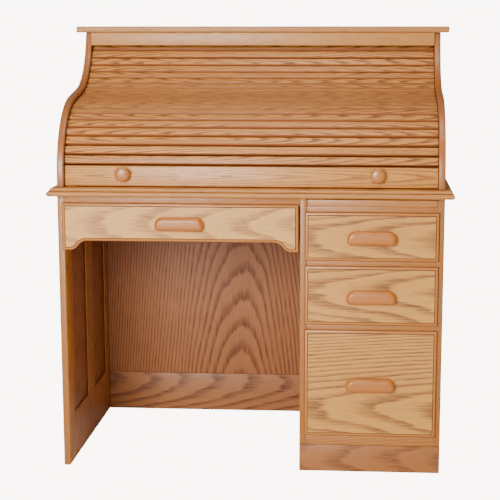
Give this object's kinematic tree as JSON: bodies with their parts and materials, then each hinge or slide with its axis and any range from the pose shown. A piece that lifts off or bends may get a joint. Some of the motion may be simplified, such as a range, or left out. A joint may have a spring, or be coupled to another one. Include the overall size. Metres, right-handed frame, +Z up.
{
  "type": "roll top desk",
  "caption": "Oak roll top desk with a slatted S-curve roll, a shaped drawer over the kneehole and a pedestal of drawers under a pull-out board.",
  "frame": {"origin": "centre of the bounding box on the floor", "axes": "+Z up, +X to the right of someone sitting at the desk, -Y towards them (the front)"},
  "size_m": [1.067, 0.664, 1.181],
  "materials": {
    "oak_case": "satin",
    "oak_frame": "satin",
    "oak_panel": "satin",
    "oak_ply": "matt",
    "oak_top": "satin",
    "oak_gable": "satin",
    "runner_wood": "matt",
    "oak_organizer": "satin",
    "oak_roll": "satin",
    "oak_turned": "semi-gloss",
    "oak_front": "satin",
    "drawer_box_wood": "matt",
    "pull_wood": "semi-gloss",
    "oak_slide": "satin"
  },
  "bodies": {
    "root": {"left_end_frame": "oak_frame", "left_end_panels": "oak_panel", "right_end_frame": "oak_frame", "right_end_panels": "oak_panel", "pedestal_partition": "oak_case", "pedestal_bottom": "oak_ply", "pedestal_back": "oak_ply", "drawer_rails": "oak_case", "drawer_runners": "runner_wood", "plinth": "oak_case", "kneehole_rail": "oak_case", "kneehole_back": "oak_ply", "kneehole_low_rail": "oak_case", "desktop": "oak_top", "left_gable": "oak_gable", "right_gable": "oak_gable", "top_board": "oak_top", "fascia": "oak_roll", "upper_back": "oak_ply", "organizer_case": "oak_organizer", "organizer_dividers": "oak_organizer"},
    "lift_rail": {"lift_rail": "oak_roll", "lift_knobs": "oak_turned"},
    "slat_01": {"slat_01": "oak_roll"},
    "slat_02": {"slat_02": "oak_roll"},
    "slat_03": {"slat_03": "oak_roll"},
    "slat_04": {"slat_04": "oak_roll"},
    "slat_05": {"slat_05": "oak_roll"},
    "slat_06": {"slat_06": "oak_roll"},
    "slat_07": {"slat_07": "oak_roll"},
    "slat_08": {"slat_08": "oak_roll"},
    "slat_09": {"slat_09": "oak_roll"},
    "slat_10": {"slat_10": "oak_roll"},
    "slat_11": {"slat_11": "oak_roll"},
    "slat_12": {"slat_12": "oak_roll"},
    "slat_13": {"slat_13": "oak_roll"},
    "slat_14": {"slat_14": "oak_roll"},
    "slat_15": {"slat_15": "oak_roll"},
    "slat_16": {"slat_16": "oak_roll"},
    "slat_17": {"slat_17": "oak_roll"},
    "slat_18": {"slat_18": "oak_roll"},
    "slat_19": {"slat_19": "oak_roll"},
    "slat_20": {"slat_20": "oak_roll"},
    "slat_21": {"slat_21": "oak_roll"},
    "slat_22": {"slat_22": "oak_roll"},
    "pencil_drawer": {"pencil_drawer_front": "oak_front", "pencil_drawer_box": "drawer_box_wood", "pencil_drawer_pull": "pull_wood"},
    "upper_drawer": {"upper_drawer_front": "oak_front", "upper_drawer_box": "drawer_box_wood", "upper_drawer_pull": "pull_wood"},
    "middle_drawer": {"middle_drawer_front": "oak_front", "middle_drawer_box": "drawer_box_wood", "middle_drawer_pull": "pull_wood"},
    "file_drawer": {"file_drawer_front": "oak_front", "file_drawer_box": "drawer_box_wood", "file_drawer_pull": "pull_wood"},
    "writing_board": {"writing_board": "oak_slide"},
    "organizer_drawer_left": {"organizer_drawer_left": "oak_organizer"},
    "organizer_drawer_right": {"organizer_drawer_right": "oak_organizer"}
  },
  "joints": [
    {"name": "roll_open", "type": "hinge", "parent": "root", "child": "lift_rail", "pos_m": [0, 0.09102, 0.60978], "axis": [-1, 0, 0], "range_deg": [0, 57.56]},
    {"name": "slat_01_follow", "type": "hinge", "parent": "lift_rail", "child": "slat_01", "pos_m": [0, -0.26863, 0.81993], "axis": [-1, 0, 0], "range_deg": [-22.6, 0]},
    {"name": "slat_02_follow", "type": "hinge", "parent": "slat_01", "child": "slat_02", "pos_m": [0, -0.26239, 0.84476], "axis": [-1, 0, 0], "range_deg": [-14.9, 0]},
    {"name": "slat_03_follow", "type": "hinge", "parent": "slat_02", "child": "slat_03", "pos_m": [0, -0.25275, 0.86847], "axis": [-1, 0, 0], "range_deg": [-14.9, 0]},
    {"name": "slat_04_follow", "type": "hinge", "parent": "slat_03", "child": "slat_04", "pos_m": [0, -0.23991, 0.89062], "axis": [-1, 0, 0], "range_deg": [-13.26, 0]},
    {"name": "slat_05_follow", "type": "hinge", "parent": "root", "child": "slat_05", "pos_m": [0, 2.38029, -3.53274], "axis": [-1, 0, 0], "range_deg": [0, 4.6]},
    {"name": "slat_06_follow", "type": "hinge", "parent": "slat_05", "child": "slat_06", "pos_m": [0, -0.20569, 0.92853], "axis": [-1, 0, 0], "range_deg": [0, 21.23]},
    {"name": "slat_07_follow", "type": "hinge", "parent": "slat_06", "child": "slat_07", "pos_m": [0, -0.18496, 0.94356], "axis": [-1, 0, 0], "range_deg": [0, 2.16]},
    {"name": "slat_08_follow", "type": "hinge", "parent": "root", "child": "slat_08", "pos_m": [0, 0.36484, 0.29351], "axis": [-1, 0, 0], "range_deg": [0, 28.01]},
    {"name": "slat_09_follow", "type": "hinge", "parent": "root", "child": "slat_09", "pos_m": [0, 0.24235, 0.58389], "axis": [-1, 0, 0], "range_deg": [0, 44.3]},
    {"name": "slat_10_follow", "type": "hinge", "parent": "slat_22", "child": "slat_10", "pos_m": [0, -0.06914, 0.96067], "axis": [-1, 0, 0], "range_deg": [-57, 0]},
    {"name": "slat_11_follow", "type": "hinge", "parent": "slat_04", "child": "slat_11", "pos_m": [0, -0.13488, 0.92777], "axis": [-1, 0, 0], "range_deg": [0, 98.55]},
    {"name": "slat_12_follow", "type": "hinge", "parent": "slat_22", "child": "slat_12", "pos_m": [0, -0.04618, 0.95304], "axis": [-1, 0, 0], "range_deg": [-23.84, 0]},
    {"name": "slat_13_follow", "type": "hinge", "parent": "slat_17", "child": "slat_13", "pos_m": [0, 0.02765, 0.99662], "axis": [-1, 0, 0], "range_deg": [-25.87, 0]},
    {"name": "slat_14_follow", "type": "hinge", "parent": "slat_20", "child": "slat_14", "pos_m": [0, 0.07213, 1.01789], "axis": [-1, 0, 0], "range_deg": [-41.45, 0]},
    {"name": "slat_15_follow", "type": "hinge", "parent": "slat_20", "child": "slat_15", "pos_m": [0, 0.08164, 1.02692], "axis": [-1, 0, 0], "range_deg": [-34.54, 0]},
    {"name": "slat_16_follow", "type": "hinge", "parent": "slat_19", "child": "slat_16", "pos_m": [0, 0.08033, 1.02855], "axis": [-1, 0, 0], "range_deg": [-20.73, 0]},
    {"name": "slat_17_follow", "type": "hinge", "parent": "slat_18", "child": "slat_17", "pos_m": [0, 0.07968, 1.02935], "axis": [-1, 0, 0], "range_deg": [-6.92, 0]},
    {"name": "slat_18_follow", "type": "hinge", "parent": "root", "child": "slat_18", "pos_m": [0, 0.15062, 0.92553], "axis": [-1, 0, 0], "range_deg": [0, 132.36]},
    {"name": "slat_19_follow", "type": "hinge", "parent": "root", "child": "slat_19", "pos_m": [0, 0.15639, 0.93173], "axis": [-1, 0, 0], "range_deg": [0, 139.27]},
    {"name": "slat_20_follow", "type": "hinge", "parent": "root", "child": "slat_20", "pos_m": [0, 0.16341, 0.9371], "axis": [-1, 0, 0], "range_deg": [0, 146.17]},
    {"name": "slat_21_follow", "type": "hinge", "parent": "lift_rail", "child": "slat_21", "pos_m": [0, -0.03406, 1.04809], "axis": [-1, 0, 0], "range_deg": [0, 90.78]},
    {"name": "slat_22_follow", "type": "hinge", "parent": "slat_21", "child": "slat_22", "pos_m": [0, 0.143, 1.10905], "axis": [-1, 0, 0], "range_deg": [-25.21, 0]},
    {"name": "pencil_drawer_slide", "type": "slide", "parent": "root", "child": "pencil_drawer", "axis": [0, -1, 0], "range_m": [0, 0.3]},
    {"name": "upper_drawer_slide", "type": "slide", "parent": "root", "child": "upper_drawer", "axis": [0, -1, 0], "range_m": [0, 0.38]},
    {"name": "middle_drawer_slide", "type": "slide", "parent": "root", "child": "middle_drawer", "axis": [0, -1, 0], "range_m": [0, 0.38]},
    {"name": "file_drawer_slide", "type": "slide", "parent": "root", "child": "file_drawer", "axis": [0, -1, 0], "range_m": [0, 0.38]},
    {"name": "writing_board_slide", "type": "slide", "parent": "root", "child": "writing_board", "axis": [0, -1, 0], "range_m": [0, 0.32]},
    {"name": "organizer_drawer_left_slide", "type": "slide", "parent": "root", "child": "organizer_drawer_left", "axis": [0, -1, 0], "range_m": [0, 0.13]},
    {"name": "organizer_drawer_right_slide", "type": "slide", "parent": "root", "child": "organizer_drawer_right", "axis": [0, -1, 0], "range_m": [0, 0.13]}
  ],
  "couplings": [
    {"joint": "slat_01_follow", "follows": "roll_open", "ratio": -0.39243},
    {"joint": "slat_02_follow", "follows": "roll_open", "ratio": -0.25874},
    {"joint": "slat_03_follow", "follows": "roll_open", "ratio": -0.25873},
    {"joint": "slat_04_follow", "follows": "roll_open", "ratio": -0.23026},
    {"joint": "slat_05_follow", "follows": "roll_open", "ratio": 0.079693},
    {"joint": "slat_06_follow", "follows": "roll_open", "ratio": 0.36863},
    {"joint": "slat_07_follow", "follows": "roll_open", "ratio": 0.037337},
    {"joint": "slat_08_follow", "follows": "roll_open", "ratio": 0.48646},
    {"joint": "slat_09_follow", "follows": "roll_open", "ratio": 0.76948},
    {"joint": "slat_10_follow", "follows": "roll_open", "ratio": -0.99011},
    {"joint": "slat_11_follow", "follows": "roll_open", "ratio": 1.712},
    {"joint": "slat_12_follow", "follows": "roll_open", "ratio": -0.414},
    {"joint": "slat_13_follow", "follows": "roll_open", "ratio": -0.44929},
    {"joint": "slat_14_follow", "follows": "roll_open", "ratio": -0.71992},
    {"joint": "slat_15_follow", "follows": "roll_open", "ratio": -0.59993},
    {"joint": "slat_16_follow", "follows": "roll_open", "ratio": -0.35996},
    {"joint": "slat_17_follow", "follows": "roll_open", "ratio": -0.11999},
    {"joint": "slat_18_follow", "follows": "roll_open", "ratio": 2.2993},
    {"joint": "slat_19_follow", "follows": "roll_open", "ratio": 2.4192},
    {"joint": "slat_20_follow", "follows": "roll_open", "ratio": 2.5392},
    {"joint": "slat_21_follow", "follows": "roll_open", "ratio": 1.5769},
    {"joint": "slat_22_follow", "follows": "roll_open", "ratio": -0.43785}
  ]
}
